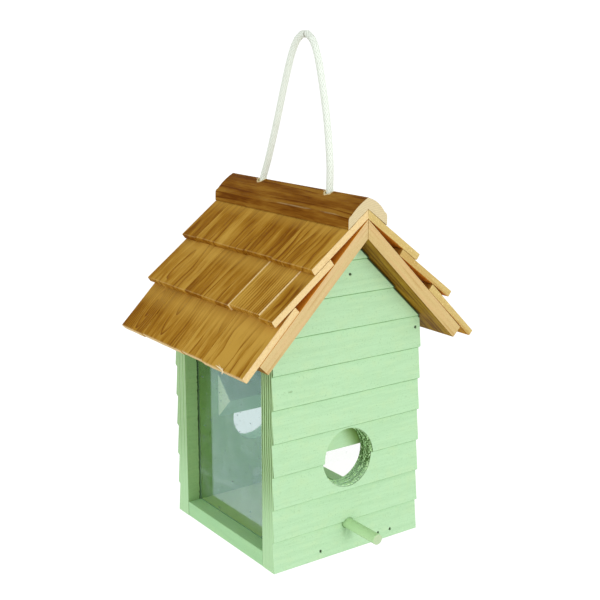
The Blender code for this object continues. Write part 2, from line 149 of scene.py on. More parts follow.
def opaque(colour):
    return (*colour, 1.0) if isinstance(colour, tuple) else colour


class Field:
    """A number, vector or colour over a surface; arithmetic on it makes nodes."""

    def __init__(self, graph, socket):
        self.graph = graph
        self.socket = socket

    def calc(self, operation, other=0.0):
        return self.graph.add("Math", 0, self, other, operation=operation)

    def __add__(self, other):
        return self.calc("ADD", other)

    def __sub__(self, other):
        return self.calc("SUBTRACT", other)

    def __rsub__(self, other):
        return self.graph.add("Math", 0, other, self, operation="SUBTRACT")

    def __mul__(self, other):
        return self.calc("MULTIPLY", other)

    def __truediv__(self, other):
        return self.calc("DIVIDE", other)

    def __pow__(self, power):
        return self.calc("POWER", power)

    def __abs__(self):
        return self.calc("ABSOLUTE")

    def fraction(self):
        return self.calc("FRACT")

    def most(self, other):
        return self.calc("MAXIMUM", other)

    x = property(lambda self: self.graph.add("SeparateXYZ", 0, self))
    y = property(lambda self: self.graph.add("SeparateXYZ", 1, self))
    z = property(lambda self: self.graph.add("SeparateXYZ", 2, self))

    def stretch(self, x, y, z):
        return self.graph.add("VectorMath", 0, self, (x, y, z), operation="MULTIPLY")

    def drawn(self, share):
        """The same place, so that patterns come out long along the first axis."""
        return self.stretch(share, 1.0, 1.0)

    def distance(self, spot):
        return self.graph.add("VectorMath", "Value", self, spot, operation="DISTANCE")

    def noise(self, scale, detail=3.0, roughness=0.55):
        return self.graph.add("TexNoise", 0, self, 0.0, scale, detail, roughness)

    def fade(self, low, high, start=0.0, end=1.0):
        """Smooth step from start at low to end at high."""
        steps = (self, low, high, start, end)
        return self.graph.add("MapRange", 0, *steps, interpolation_type="SMOOTHSTEP")

    def mix(self, share, other):
        return self.graph.mix(share, self, other)

    def tint(self, share):
        return self.graph.mix(1.0, self, share, "MULTIPLY")


class Graph:
    """One node material, built by small calls that return fields."""

    def __init__(self, name):
        self.material = bpy.data.materials.new(name)
        self.material.use_nodes = True
        self.tree = self.material.node_tree
        self.shader = self.tree.nodes["Principled BSDF"]
        self.seen = self.shader.outputs[0]
        # Row-frame coordinates and directions, which stay with a moving piece.
        self.place = self.add("TexCoord", "Object")
        self.facing = self.add("TexCoord", "Normal")

    def node(self, kind, **settings):
        made = self.tree.nodes.new("ShaderNode" + kind)
        for key, value in settings.items():
            setattr(made, key, value)
        return made

    def add(self, kind, output, *values, **settings):
        """New node with values in its first inputs, as one of its outputs."""
        made = self.node(kind, **settings)
        for socket, value in zip(made.inputs, values):
            feed(socket, value)
        return Field(self, made.outputs[output])

    def set(self, **values):
        """Sets or links inputs of the main shader; _ stands for a space."""
        for key, value in values.items():
            feed(self.shader.inputs[key.replace("_", " ")], value)

    def stored(self, name, output="Fac"):
        return self.add("Attribute", output, attribute_name=name)

    def join(self, x, y, z):
        return self.add("CombineXYZ", 0, x, y, z)

    def mix(self, share, first, second, blend="MIX"):
        made = self.node("Mix", data_type="RGBA", blend_type=blend)
        feed(made.inputs[0], share)
        feed(made.inputs[6], opaque(first))
        feed(made.inputs[7], opaque(second))
        return Field(self, made.outputs[2])

    def ramp(self, value, stops):
        """Colour ramp through (position, colour) stops."""
        made = self.node("ValToRGB")
        bar = made.color_ramp.elements
        while len(bar) < len(stops):
            bar.new(0.5)
        for element, (position, colour) in zip(bar, stops):
            element.position = position
            element.color = opaque(colour)
        feed(made.inputs[0], value)
        return Field(self, made.outputs[0])

    def show(self, ray, shader):
        """Shows another shader to one kind of ray."""
        blend = self.node("MixShader")
        share = self.node("LightPath").outputs[ray]
        for socket, value in zip(blend.inputs, (share, self.seen, shader)):
            feed(socket, value)
        self.seen = blend.outputs[0]
        feed(self.tree.nodes["Material Output"].inputs["Surface"], self.seen)

    def finish(self, colour, roughness, relief, depth, gloss):
        """Sets the main inputs; the relief is depth metres deep."""
        bump = self.node("Bump")
        feed(bump.inputs["Distance"], depth)
        feed(bump.inputs["Height"], relief)
        self.set(Base_Color=colour, Roughness=roughness)
        self.set(Normal=bump.outputs[0], Specular_IOR_Level=gloss)
        return self.material


# ---- materials
PAINT = (0.47, 0.72, 0.44)
PAINT_THIN = (0.53, 0.71, 0.38)
PAINT_DEEP = (0.34, 0.57, 0.31)
# Paint brightened as painted light on faces lit through the windows: deep inside, and
# close to the left sheet.
INDOOR_LIT_PAINT = (0.89, 1.0, 0.62)
SILL_LIT_PAINT = (0.74, 0.96, 0.27)
PLY_EDGE = (0.36, 0.61, 0.27)
PLY_PALE = (0.50, 0.74, 0.40)
PLY_GLUE = (0.10, 0.20, 0.035)
RAW_WOOD = (0.80, 0.61, 0.31)
WORN_EDGE = (0.95, 0.72, 0.34)
STAIN = ((0.225, 0.080, 0.003), (0.400, 0.190, 0.015), (0.595, 0.350, 0.058))
BOARD_STAIN = ((0.15, 0.062, 0.004), (0.32, 0.158, 0.011), (0.45, 0.26, 0.021))
CAP_STAIN = ((0.148, 0.044, 0.002), (0.240, 0.092, 0.008), (0.34, 0.163, 0.020))

# What is kept of each colour on the inner face of a wall, for thinner paint and painted
# shade: outside the sheets, close to the left sheet, deep inside, and high up under the
# roof.
INSIDE_SHARE = (0.62, 0.70, 0.48)
NEAR_SHARE = (0.66, 0.70, 0.25)
DEEP_SHARE = (0.76, 0.82, 0.46)
UPPER_SHARE = (0.38, 0.38, 0.16)

# Where the painted shade behind the front hole's rim starts.
RIM_SHADE_FROM_Y = 0.040
RING_SPACING = 0.0042


def figured_rings(graph, grain):
    """Rings round a slat's own heart line, which make arches where they meet."""
    away = graph.stored("figure", "Vector").distance((0.0, 0.0, 0.0))
    bend = grain.drawn(0.35).noise(45.0, 1.5)
    return ((bend * 0.013 + away) / RING_SPACING).fraction()


def wood_layers(graph, grain, ring=None):
    """Ring, streak, fibre and pore patterns of straight-grained wood."""
    if ring is None:
        drift = grain.drawn(0.10).noise(26.0, 2.0)
        ring = ((drift * 0.022 - 0.011 + grain.y) / 0.0052).fraction()
    clear = grain.drawn(0.22).noise(75.0, 2.0).fade(0.42, 0.62, 0.12, 1.0)
    late = ring ** 4.0 * clear.most(graph.stored("clarity"))
    streak = grain.drawn(0.026).noise(170.0, 3.0, 0.5)
    fibre = grain.drawn(0.035).noise(2300.0, 2.0)
    pore = grain.drawn(0.08).noise(850.0, 2.0)
    return late, streak, fibre, pore.fade(0.58, 0.72)


def stained_wood(graph, grain, stain, tone, ring=None, reach=0.34):
    """Colour and relief of stained wood, its grain along the first axis."""
    dark, middle, light = stain
    late, streak, fibre, pore = wood_layers(graph, grain, ring)
    broad = grain.drawn(0.16).noise(105.0, 3.0)
    level = streak * 0.55 + broad * 1.35 - late * 0.66 + fibre * 0.55 - 0.665 + tone
    stops = ((0.49 - reach, dark), (0.49, middle), (0.49 + reach, light))
    colour = graph.ramp(level, stops).mix(pore * 0.25, dark)
    return colour, streak - late * 0.5 + fibre * 0.5 - pore * 0.6


def raw_wood(graph, grain, colour=RAW_WOOD):
    """Sawn, unstained wood with faint rings and saw marks."""
    late, streak, _, pore = wood_layers(graph, grain)
    deep = tuple(f * c for f, c in zip((0.80, 0.66, 0.50), colour))
    share = late * 0.60 + streak * 0.75
    shade = graph.mix(share.fade(0.30, 0.78, 0.0, 0.8), colour, deep)
    sawn = grain.drawn(0.5).noise(1100.0, 3.0, 0.6)
    shade = shade.mix(sawn.fade(0.46, 0.72, 0.0, 0.55), deep)
    return shade.mix(pore * 0.25, deep)


def duller_right(graph, colour, share):
    """The same colour, multiplied by share on the right-hand slope."""
    right = graph.place.x.fade(-0.001, 0.001)
    return colour.mix(right, colour.tint(share))


def end_share(graph, low=0.55, high=0.85):
    """1 on faces that look along Y, 0 on the others."""
    return abs(graph.facing.y).fade(low, high)


def end_grain(graph, colour):
    """Sawn end of the cap: faint curved rings and open pores."""
    spot = graph.join(graph.place.x, graph.place.z, 0.0)
    away = spot.noise(90.0, 2.0) * 0.0016 + spot.distance((0.012, 0.240, 0.0))
    ring = (away / 0.0017).fraction()
    deep = tuple(0.72 * c for c in colour)
    shade = graph.mix(ring.fade(0.45, 1.0, 0.0, 0.45), colour, deep)
    return shade.mix(spot.noise(1700.0, 2.0).fade(0.52, 0.72, 0.0, 0.4), deep)


def shingle_material():
    graph = Graph("cedar_shingle")
    grain = graph.stored("grain", "Vector")
    ring = figured_rings(graph, grain)
    colour, relief = stained_wood(graph, grain, STAIN, graph.stored("tone"), ring)
    colour = colour.mix(graph.stored("shelter") * 0.45, (0.68, 0.42, 0.08))
    under = graph.facing.z.fade(-0.2, -0.5, 0.0, 0.75)
    under = under * (graph.facing.x * graph.place.x).fade(0.0, -0.01)
    under = under * graph.place.z.fade(0.188, 0.200, 0.4, 1.0)
    colour = colour.mix(under, (0.85, 0.33, 0.025))
    raw = graph.stored("raw")
    rough = grain.noise(900.0, 2.0)
    sawn = duller_right(graph, raw_wood(graph, grain), (0.78, 0.78, 0.58))
    colour = colour.mix((rough * 0.25 + raw).fade(0.55, 1.05), sawn)
    colour = colour.mix((rough + raw).fade(1.55, 1.85), WORN_EDGE)
    return graph.finish(colour, relief.fade(0.2, 0.9, 0.46, 0.64), relief, 0.00020, 0.02)


def roof_board_material():
    """Cedar boards, their grain down the slope, with sawn front and back ends."""
    graph = Graph("roof_board_cedar")
    x = abs(graph.place.x)
    y = graph.place.y
    z = graph.place.z
    colour, relief = stained_wood(graph, graph.join(x - z, y, x + z), BOARD_STAIN, 0.0)
    topside = graph.facing.z.fade(0.2, 0.5, 0.0, 0.8)
    colour = colour.mix(topside, (0.80, 0.34, 0.035))
    edge_grain = graph.join(x - z, x + z, y)
    rake = raw_wood(graph, edge_grain, (0.66, 0.51, 0.245))
    blush = edge_grain.drawn(0.08).noise(240.0, 2.0)
    rake = rake.mix(blush.fade(0.42, 0.68, 0.0, 0.4), (0.72, 0.46, 0.24))
    rake = duller_right(graph, rake, (0.96, 0.94, 0.86))
    colour = colour.mix(end_share(graph), rake)
    return graph.finish(colour, 0.62, relief, 0.00015, 0.08)


def rope_hole_share(graph):
    """1 close to either rope hole in the cap, 0 away from both."""
    flat = graph.join(graph.place.x, abs(graph.place.y), 0.0)
    away = flat.distance((0.0, ROPE_HOLE_Y, 0.0)) - graph.place.noise(420.0, 2.0) * 0.0040
    return away.fade(0.0030, 0.0038, 1.0, 0.0)


def shoulder_wear_and_highlight(graph):
    """Patches along the cap's shoulders where the stain has worn off, partly a painted
    highlight along the shoulder's front half.
    """
    place = graph.place
    line = abs(abs(place.x) - CAP_SHOULDER_X).fade(0.0001, 0.0007, 1.0, 0.0)
    patch = place.stretch(0.6, 0.10, 0.6).noise(420.0, 3.0)
    return line * place.y.fade(0.03, -0.02) * patch.fade(0.40, 0.58)


def cap_material():
    graph = Graph("ridge_cap_cedar")
    grain = graph.join(graph.place.y, graph.place.x, graph.place.z)
    colour, relief = stained_wood(graph, grain, CAP_STAIN, 0.03, None, 0.24)
    # Worn stain and painted highlight along the shoulders.
    colour = colour.mix(shoulder_wear_and_highlight(graph) * 0.4, (0.62, 0.47, 0.24))
    colour = colour.mix(end_share(graph), end_grain(graph, (0.69, 0.575, 0.34)))
    colour = colour.mix(rope_hole_share(graph), (0.80, 0.66, 0.36))
    return graph.finish(colour, relief.fade(0.2, 0.9, 0.38, 0.55), relief, 0.00016, 0.01)


def brushed_paint(graph, grain_axis):
    """Colour and relief of thin paint brushed along the grain."""
    along = [1.0, 1.0, 1.0]
    along[grain_axis] = 0.06
    fibres = graph.place.stretch(*along)
    streak = fibres.noise(300.0, 4.0, 0.62)
    fine = fibres.noise(1300.0, 2.0)
    pit = graph.place.noise(950.0, 2.0)
    thin = (streak * 0.4 + graph.place.noise(95.0, 4.0, 0.6)).fade(0.62, 0.95)
    colour = graph.mix(thin * 0.30, PAINT, PAINT_THIN)
    colour = colour.mix((fine * 0.5 + streak).fade(0.88, 0.55) * 0.30, PAINT_DEEP)
    colour = colour.mix(pit.fade(0.56, 0.74) * 0.80, PAINT_DEEP)
    return colour, fine * 0.45 + streak + pit * 0.45


def finish_paint(graph, colour, relief):
    return graph.finish(colour, relief.fade(0.5, 1.3, 0.50, 0.68), relief, 0.00016, 0.22)


def deep_inside(graph):
    """1 well inside the house, 0 close to the left sheet, where the painted shade is
    darker.
    """
    return graph.place.x.fade(-0.051, -0.045)


def outside_sheets(graph):
    """1 on the window side of a sheet's kerf, 0 between the two sheets."""
    return abs(graph.place.x).fade(KERF_OUTER_X - 0.002, KERF_OUTER_X - 0.001)


def painted_board(name, lit_share):
    """Paint for a batten along Y, with painted light on its top between the two sheets."""
    graph = Graph(name)
    colour, relief = brushed_paint(graph, 1)
    colour = colour.tint((0.89, 1.02, 0.87))
    indoors = (1.0 - outside_sheets(graph)) * lit_share
    lit_colour = graph.mix(deep_inside(graph), SILL_LIT_PAINT, INDOOR_LIT_PAINT)
    # Painted light on top faces between the sheets.
    colour = colour.mix(indoors * graph.facing.z.fade(0.2, 0.5), lit_colour)
    return finish_paint(graph, colour, relief)


def seed_block_material():
    """Paint for a seed block, with painted light on its ends and painted shade on its
    sloping faces and behind the hole's rim.
    """
    graph = Graph("painted_block")
    place = graph.place
    colour, relief = brushed_paint(graph, 0)
    # Painted shade on the sloping faces.
    colour = colour.mix(abs(graph.facing.z).fade(0.2, 0.5, 0.0, 0.5), PAINT_DEEP)
    # Painted light on the ends, which face the windows.
    colour = colour.mix(abs(graph.facing.x).fade(0.5, 0.9, 0.05, 0.9), INDOOR_LIT_PAINT)
    # Painted shade towards the upper right of the hole's rim.
    near_wall = (place.y * place.y).fade(RIM_SHADE_FROM_Y ** 2, WALL_INNER_Y ** 2)
    rim = (place.z - HOLE_Z) * 0.6 + place.x
    dark_patch = rim.fade(0.010, 0.028, 0.0, 0.90) * near_wall
    return finish_paint(graph, colour.mix(dark_patch, (0.15, 0.27, 0.04)), relief)


def ply_edge(graph, seam_share):
    """Colour and relief of the layers that a cut through plywood shows."""
    place = graph.place
    wave = place.stretch(1.0, 0.25, 1.0).noise(60.0, 3.0)
    layer = (wave * 0.0026 + abs(place.y) - 0.0602) / 0.0030
    glue = abs(layer.fraction() - 0.5).fade(0.20, 0.34)
    rough = place.stretch(1.0, 1.0, 0.30).noise(900.0, 3.0, 0.65)
    grainy = place.stretch(0.4, 1.0, 0.10).noise(500.0, 2.0)
    colour = graph.mix(layer.calc("PINGPONG", 1.0), PLY_EDGE, PLY_PALE)
    colour = colour.mix(rough.fade(0.45, 0.70, 0.0, 0.40), PAINT_DEEP)
    share = glue * grainy.fade(0.15, 0.42) * seam_share
    return colour.mix(share, PLY_GLUE), rough - glue * 0.9


def smudge(graph, x, z):
    """1 inside a small mark that runs along a gable wall's board."""
    flat = graph.join((graph.place.x - x) * 0.4, 0.0, graph.place.z)
    away = flat.distance((0.0, 0.0, z)) - graph.place.noise(900.0, 2.0) * 0.0010
    return away.fade(0.0001, 0.0006, 1.0, 0.0)


def perch_shadow(graph):
    """Painted shadow just below the perch, fading as it runs down."""
    place = graph.place
    across = abs(place.x).fade(0.0015, 0.0085, 1.0, 0.0)
    upper = place.z.fade(PERCH_Z + 0.005, PERCH_Z - 0.004)
    lower = place.z.fade(0.003, PERCH_Z - 0.006)
    patch = place.noise(210.0, 2.0).fade(0.30, 0.55, 0.25, 1.0)
    return across * upper * lower * patch


def below_roof(graph):
    """How far a point of a gable lies below the roof boards."""
    return GABLE_APEX_Z - (abs(graph.place.x) + graph.place.z)


def gable_shade(graph):
    """Painted shade in the corner between the gable and the roof boards."""
    below = below_roof(graph) - graph.place.noise(150.0, 3.0) * 0.0012
    return below.fade(0.0006, 0.0017, 0.9, 0.0)


def off_axis(graph, x, z):
    """Distance from the line along Y through x and z."""
    return graph.join(graph.place.x, 0.0, graph.place.z).distance((x, 0.0, z))


def perch_gap_shade(graph):
    """Painted shade in the thin gap round the perch, open on part of its circle."""
    off = abs(off_axis(graph, 0.0, PERCH_Z) - PERCH_GAP_RADIUS)
    patch = graph.place.noise(260.0, 2.0).fade(0.38, 0.52, 0.35, 1.0)
    return off.fade(0.0002, 0.0007, 1.0, 0.0) * patch


def nail_dimple(graph, node):
    """Dark ring in the paint round one nail."""
    low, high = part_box(node)
    away = off_axis(graph, (low.x + high.x) / 2, (low.z + high.z) / 2)
    away = away - graph.place.noise(700.0, 2.0) * 0.0014
    return away.fade(0.0003, 0.0009, 0.92, 0.0)


def lap_shadow(graph):
    """Painted shadow line under each overlapping board, slightly uneven."""
    share = ((graph.place.z - COURSE_FIRST) / COURSE_PITCH).fraction()
    uneven = graph.place.drawn(0.5).noise(160.0, 3.0)
    below = (1.0 - share) * COURSE_PITCH + uneven * 0.0009
    return below.fade(0.0011, 0.0021, 1.0, 0.0)


def kerf_shadow(graph):
    """Painted shadow along the ragged lip where the saw cut for a sheet opens, 0 away from
    it.
    """
    away = abs(graph.place.x) - KERF_OUTER_X
    ragged = away - graph.place.stretch(1.0, 0.6, 0.6).noise(900.0, 2.0) * 0.0022
    return away.fade(-0.0002, -0.0001) * ragged.fade(-0.0004, -0.0001, 1.0, 0.0)


def wall_material(name, fillers, seam_top, seam_foot):
    """Clapboard paint outside, thinner paint and painted shade inside, layers on cut
    edges.

    The layers' dark seams fade from seam_top at the eaves to seam_foot.
    """
    graph = Graph(name)
    height = graph.place.z
    colour, relief = brushed_paint(graph, 0)
    # Painted shadow of the perch on the wall below it.
    colour = colour.mix(perch_shadow(graph) * 0.62, (0.22, 0.40, 0.19))
    for spot in fillers:
        colour = colour.mix(smudge(graph, *spot) * 0.5, (0.20, 0.34, 0.14))
    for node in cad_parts:
        if node.startswith(name.split("_")[0]) and "_nail" in node:
            colour = colour.mix(nail_dimple(graph, node), (0.02, 0.04, 0.015))
    inside = (graph.facing.y * graph.place.y).fade(-0.01, -0.05)
    # Painted shade under the laps, round the perch and below the roof boards, on the outer
    # faces.
    gap = (lap_shadow(graph) * 0.95).most(perch_gap_shade(graph)).most(gable_shade(graph))
    colour = colour.mix(gap * (1.0 - inside), (0.15, 0.30, 0.11))
    # Painted black shadow in the seam just under the roof boards.
    gable_shadow_line = below_roof(graph).fade(0.0011, 0.0020, 0.92, 0.0)
    colour = colour.mix(gable_shadow_line, (0.02, 0.035, 0.012))
    # Inner faces: thinner paint and painted shade, darkest near the left sheet and high up
    # under the roof.
    share = graph.mix(deep_inside(graph), NEAR_SHARE, DEEP_SHARE)
    share = share.mix(height.fade(0.11, 0.17, 0.0, 0.8), UPPER_SHARE)
    share = share.mix(outside_sheets(graph), INSIDE_SHARE)
    colour = colour.mix(inside, colour.tint(share))
    # Painted shadow in the opening of each sheet's saw cut, on the inner faces.
    colour = colour.mix(inside * kerf_shadow(graph), (0.02, 0.04, 0.008))
    seams = height.fade(0.02, 0.09, seam_foot, seam_top)
    edge_colour, edge_relief = ply_edge(graph, seams)
    coated = height.fade(0.02, 0.09, 0.75, 0.0)
    edge_colour = edge_colour.mix(coated, (0.54, 0.86, 0.48))
    cut = 1.0 - end_share(graph, 0.18, 0.32)
    relief = edge_relief * cut * 2.0 + relief
    return finish_paint(graph, colour.mix(cut, edge_colour), relief)


def torn_ply_material(name, dark_share):
    """Ragged plywood inside the round holes, washed with paint."""
    graph = Graph(name)
    colour, relief = ply_edge(graph, 0.4 * dark_share)
    flake = graph.place.stretch(1.0, 0.8, 1.0).noise(900.0, 3.0, 0.65)
    level = flake * 1.7 + graph.stored("tear")
    upward = graph.place.z.fade(HOLE_Z - 0.006, HOLE_Z - 0.020, 0.0, 0.80)
    colour = colour.mix(upward, (0.66, 1.0, 0.68))
    side = graph.place.x.fade(-0.002, 0.018, 0.0, 0.30 * dark_share)
    gap = (level - side).fade(1.20, 0.94, 0.0, dark_share) * (1.0 - upward * 0.5)
    colour = colour.mix(gap, (0.045, 0.115, 0.010))
    colour = colour.mix(level.fade(1.28, 1.46, 0.0, 0.9), (0.66, 0.98, 0.52))
    return graph.finish(colour, 0.8, relief, 0.00030, 0.12)


def perch_material():
    """Painted dowel: grain along Y, painted shade underneath, and a bare, ringed outer
    end.
    """
    graph = Graph("painted_dowel")
    colour, relief = brushed_paint(graph, 1)
    colour = colour.mix(0.5, (0.53, 0.80, 0.37))
    # Painted shade on the underside of the dowel.
    lower = graph.facing.z.fade(-0.3, -0.8, 0.0, 0.5)
    colour = colour.mix(lower, (0.24, 0.42, 0.16))
    ring = (off_axis(graph, 0.0022, PERCH_Z - 0.003) / 0.0011).fraction()
    face = graph.mix(ring.fade(0.5, 1.0, 0.0, 0.4), (0.47, 0.62, 0.37), (0.36, 0.47, 0.25))
    face = face.mix(graph.place.noise(1500.0, 2.0).fade(0.50, 0.70, 0.0, 0.5), PAINT)
    colour = colour.mix(end_share(graph, 0.7, 0.92), face)
    return finish_paint(graph, colour, relief)


def nail_material():
    graph = Graph("weathered_nail")
    spots = graph.place.noise(1600.0, 3.0)
    rust = spots.fade(0.45, 0.70)
    colour = graph.mix(rust, (0.018, 0.022, 0.016), (0.05, 0.035, 0.016))
    graph.set(Metallic=rust.fade(0.0, 1.0, 0.15, 0.03))
    return graph.finish(colour, spots.fade(0.3, 0.8, 0.5, 0.8), spots, 0.00008, 0.1)


def smear(graph):
    """A wiped streak across the back half of a window, low down."""
    place = graph.place
    across = place.y * 0.06 + (place.z - 0.048) + place.noise(45.0, 3.0) * 0.008
    line = abs(across).fade(0.0005, 0.0042, 1.0, 0.0)
    return line * place.y.fade(-0.030, 0.010) * place.noise(60.0, 2.0).fade(0.28, 0.50)


def window_material(name, tint, dusty, density, gloss):
    """Clear sheet with a tint and some dust, which lets light straight in."""
    graph = Graph(name)
    place = graph.place
    wiped = place.stretch(1.0, 0.5, 1.3).noise(26.0, 3.0)
    haze = (wiped * 0.7 + place.noise(75.0, 5.0, 0.65)).fade(0.70, 1.15)
    speck = place.stretch(1.0, 0.7, 1.4).noise(230.0, 2.0).fade(0.695, 0.745, 0.0, dusty)
    veil = smear(graph) * 0.8 + haze + place.z.fade(0.02, 0.11, 0.3, 0.0)
    veil = (veil * (0.065 * dusty)).most(speck * 0.6)
    graph.set(Base_Color=graph.mix(speck, tint, (0.16, 0.22, 0.20)))
    graph.set(Roughness=haze.fade(0.0, 1.0, 0.01, 0.06))
    graph.set(Transmission_Weight=1.0 - veil, IOR=density, Specular_Tint=opaque(gloss))
    clear = graph.node("BsdfTransparent")
    feed(clear.inputs["Color"], (0.98, 0.99, 0.985, 1.0))
    graph.show("Is Shadow Ray", clear.outputs[0])
    graph.show("Is Diffuse Ray", clear.outputs[0])
    return graph.material


def rope_material():
    """White braided cord: darker between strands, grimy where it is hung."""
    graph = Graph("braided_cord")
    place = graph.place
    lay = graph.stored("lay", "Vector")
    groove = lay.z.fade(0.10, 0.75, 0.80, 0.0)
    colour = graph.mix(groove, (0.90, 0.96, 0.87), (0.40, 0.49, 0.36))
    patch = place.noise(140.0, 3.0).fade(0.48, 0.75, 0.0, 0.20)
    colour = colour.mix(patch, (0.70, 0.75, 0.62))
    hung = place.distance((0.0, -0.019, 0.412))
    dark_patch = hung.fade(0.003, 0.012, 0.8, 0.0) * place.noise(420.0, 2.0).fade(0.46, 0.60)
    colour = colour.mix(dark_patch, (0.22, 0.23, 0.16))
    crease = abs(place.y + 0.0165).fade(0.0002, 0.0009, 1.0, 0.0)
    crease = crease * hung.fade(0.010, 0.014, 1.0, 0.0)
    colour = colour.mix(crease, (0.20, 0.18, 0.12))
    hairs = lay.stretch(1.0, 0.02, 0.0).noise(2600.0, 2.0)
    graph.set(Sheen_Weight=0.25, Sheen_Roughness=0.5)
    return graph.finish(colour, 0.88, hairs, 0.00010, 0.2)


def splinter_material():
    graph = Graph("torn_cedar")
    streak = graph.place.stretch(0.3, 1.0, 0.3).noise(1800.0, 2.0)
    colour = graph.mix(streak.fade(0.35, 0.7), (1.0, 0.93, 0.68), (0.82, 0.66, 0.36))
    return graph.finish(colour, 0.8, streak, 0.00008, 0.5)


# ---- rope
CURVE_STEPS = 24
ROPE_POINT_SPACING = 0.0075
KNOT_POINT_SPACING = 0.001


def smooth_route(points, spacing):
    """Even points on a Catmull-Rom curve through the route points."""
    fine = []
    padded = [points[0] * 2 - points[1], *points, points[-1] * 2 - points[-2]]
    for p0, p1, p2, p3 in zip(padded, padded[1:], padded[2:], padded[3:]):
        for step in range(CURVE_STEPS):
            t = step / CURVE_STEPS
            spot = 2 * p1 + (p2 - p0) * t
            spot += (2 * p0 - 5 * p1 + 4 * p2 - p3) * t * t
            spot += (3 * p1 - p0 - 3 * p2 + p3) * t * t * t
            fine.append(0.5 * spot)
    fine.append(points[-1])
    return even_points(fine, spacing)


def route_length(points):
    return sum((b - a).length for a, b in zip(points, points[1:]))


def even_points(fine, spacing):
    """The same line as points that lie one spacing apart."""
    length = route_length(fine)
    wanted = max(2, round(length / spacing))
    even = [fine[0]]
    walked = 0.0
    for a, b in zip(fine, fine[1:]):
        step = (b - a).length
        while len(even) < wanted and walked + step >= length * len(even) / wanted:
            share = (length * len(even) / wanted - walked) / step
            even.append(a.lerp(b, share))
        walked += step
    even.append(fine[-1])
    return even


def rope_route():
    """The rope's route points from part.py, in metres."""
    hole = ROPE_HOLE_Y
    tail_z = BAR_BOTTOM_Z - 0.0295
    route = (
        (hole + 0.001, tail_z),
        (hole, BAR_BOTTOM_Z - 0.010),
        (hole, BAR_BOTTOM_Z + 0.020),
        (hole + 0.0001, CAP_APEX_Z - 0.012),
        (hole - 0.0012, CAP_APEX_Z + 0.001),
        *((0.0402, 0.317), (0.026, 0.352), (0.014, 0.384), (0.0046, 0.406)),
        *((-0.0036, 0.418), (-0.014, 0.4226), (-0.0242, 0.418), (-0.0314, 0.405)),
        *((-0.0376, 0.384), (-0.0442, 0.355), (-0.0484, 0.322)),
        (0.0008 - hole, CAP_APEX_Z + 0.002),
        (-hole, CAP_APEX_Z - 0.012),
        (-hole, BAR_BOTTOM_Z + 0.020),
        (-hole, BAR_BOTTOM_Z - 0.010),
        (-hole - 0.001, tail_z),
    )
    return [Vector((0.0, y, z)) for y, z in route]


def knot_route(facing):
    """Two wraps of rope round a leg, jammed under the hanger bar."""
    coil = ROPE_RADIUS * 2 + 0.35 * MM
    pitch = ROPE_RADIUS * 2 + 0.4 * MM
    top = BAR_BOTTOM_Z - ROPE_RADIUS - 0.5 * MM
    steps = round(16 * KNOT_TURNS)
    points = []
    for step in range(steps + 1):
        share = step / steps
        turn = 2.0 * math.pi * KNOT_TURNS * share
        x = coil * math.cos(turn)
        y = facing * ROPE_HOLE_Y + coil * math.sin(turn)
        points.append(Vector((x, y, top - pitch * KNOT_TURNS * share)))
    return points


def carried_frames(points):
    """A sideways and an upward direction at each point, without twist."""
    frames = []
    side = Vector((1.0, 0.0, 0.0))
    for behind, ahead in zip([points[0], *points], [*points[1:], points[-1]]):
        tangent = (ahead - behind).normalized()
        side = (side - tangent * side.dot(tangent)).normalized()
        frames.append((side.copy(), tangent.cross(side)))
    return frames


BRAID_STRANDS = 8
BRAID_PITCH = 0.027
BRAID_DEPTH = 0.00034
BRAID_ROW_SPACING = 0.0005
CORD_SIDES = 48


def braid_height(turn, along):
    """Height of the braid, 0 between strands and 1 on a strand's crown.

    turn is the share of a turn round the cord, along the way down it. Two sets
    of strands cross, and take turns to lie on top.
    """
    first = BRAID_STRANDS * (turn + along / BRAID_PITCH)
    second = BRAID_STRANDS * (turn - along / BRAID_PITCH)
    over = (np.floor(first) + np.floor(second)) % 2 == 0
    across = np.where(over, first % 1.0, second % 1.0)
    length = np.where(over, second % 1.0, first % 1.0)
    crown = np.sqrt(np.clip(1.0 - (2.0 * across - 1.0) ** 2, 0.0, 1.0))
    return crown * (0.55 + 0.45 * np.sin(np.pi * length))


def braided_cord(name, line, material):
    """Mesh tube round a line, with its braid in the shape itself."""
    around = CORD_SIDES
    centres = even_points(line, BRAID_ROW_SPACING)
    frames = carried_frames(centres)
    middle = np.array([tuple(c) for c in centres])
    side = np.array([tuple(f[0]) for f in frames])
    rise = np.array([tuple(f[1]) for f in frames])
    along = np.linspace(0.0, route_length(centres), len(centres))[:, None]
    turn = (np.arange(around) / around)[None, :]
    height = braid_height(turn, along)
    reach = ROPE_RADIUS - BRAID_DEPTH * (1.0 - height)
    angle = 2.0 * np.pi * turn
    ring = middle[:, None, :] + (reach * np.cos(angle))[..., None] * side[:, None, :]
    ring += (reach * np.sin(angle))[..., None] * rise[:, None, :]
    points = ring.reshape(-1, 3)
    lay = np.stack(np.broadcast_arrays(along, turn, height), -1).reshape(-1, 3)
    start = len(points)
    last = start - around
    columns = [(column, (column + 1) % around) for column in range(around)]
    faces = []
    for base in range(0, last, around):
        ahead = base + around
        for left, right in columns:
            faces.append((base + left, base + right, ahead + right, ahead + left))
    for left, right in columns:
        faces.append((start, right, left))
        faces.append((start + 1, last + left, last + right))
    points = np.vstack([points, middle[:1], middle[-1:]])
    lay = np.vstack([lay, lay[:1], lay[-1:]])
    item = mesh_piece(name, points, faces, material)
    store(item, "lay", lay)
    return item


def make_rope():
    material = rope_material()
    route = smooth_route(rope_route(), ROPE_POINT_SPACING)
    cord = braided_cord("braided_rope", route, material)
    for facing, label in ((-1, "front"), (1, "back")):
        line = smooth_route(knot_route(facing), KNOT_POINT_SPACING)
        knot = braided_cord(label + "_stopper_knot", line, material)
        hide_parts(label + "_knot")
        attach(knot, "house")
    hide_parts("rope")
    route_length(route)
    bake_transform(cord)


